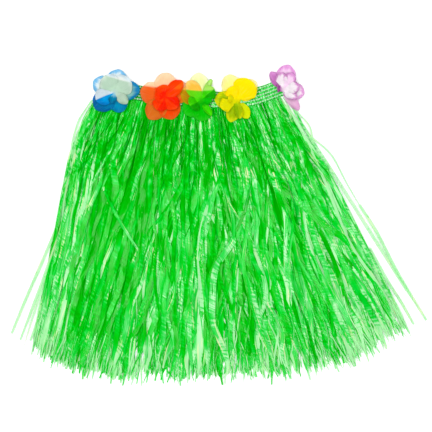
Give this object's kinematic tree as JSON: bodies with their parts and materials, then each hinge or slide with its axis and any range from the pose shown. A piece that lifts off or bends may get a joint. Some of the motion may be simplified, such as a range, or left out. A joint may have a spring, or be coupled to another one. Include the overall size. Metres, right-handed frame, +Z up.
{
  "type": "hula skirt",
  "caption": "Short hula skirt laid flat: shirred elastic waistband, loose green film strands that fan out to a ragged hem, and a row of fabric flowers.",
  "frame": {"origin": "middle of the box of the laid skirt, on the surface that it lies on", "axes": "+X to the right as seen from above, along the waistband; +Y from the hem to the waistband; +Z up, out of the front of the skirt"},
  "size_m": [0.581, 0.449, 0.0251],
  "materials": {
    "waistband": "shirred green strip with white elastic thread",
    "grass": "glossy crinkled translucent film",
    "flower_blue": "thin matte fabric, pale at places and deeper at the folds",
    "flower_orange": "thin matte fabric, pale at places and deeper at the folds",
    "flower_green": "thin matte fabric, pale at places and deeper at the folds",
    "flower_yellow": "thin matte fabric, pale at places and deeper at the folds",
    "flower_purple": "thin matte fabric, pale at places and deeper at the folds"
  },
  "bodies": {
    "root": {"waistband_front": "waistband", "waistband_back": "waistband", "grass_front_outer": "grass", "grass_front_inner": "grass", "grass_back_inner": "grass", "grass_back_outer": "grass", "flower_blue_under": "flower_blue", "flower_blue_upper": "flower_blue", "flower_orange_under": "flower_orange", "flower_orange_upper": "flower_orange", "flower_green_under": "flower_green", "flower_green_upper": "flower_green", "flower_yellow_under": "flower_yellow", "flower_yellow_upper": "flower_yellow", "flower_purple_under": "flower_purple", "flower_purple_upper": "flower_purple"}
  },
  "joints": []
}
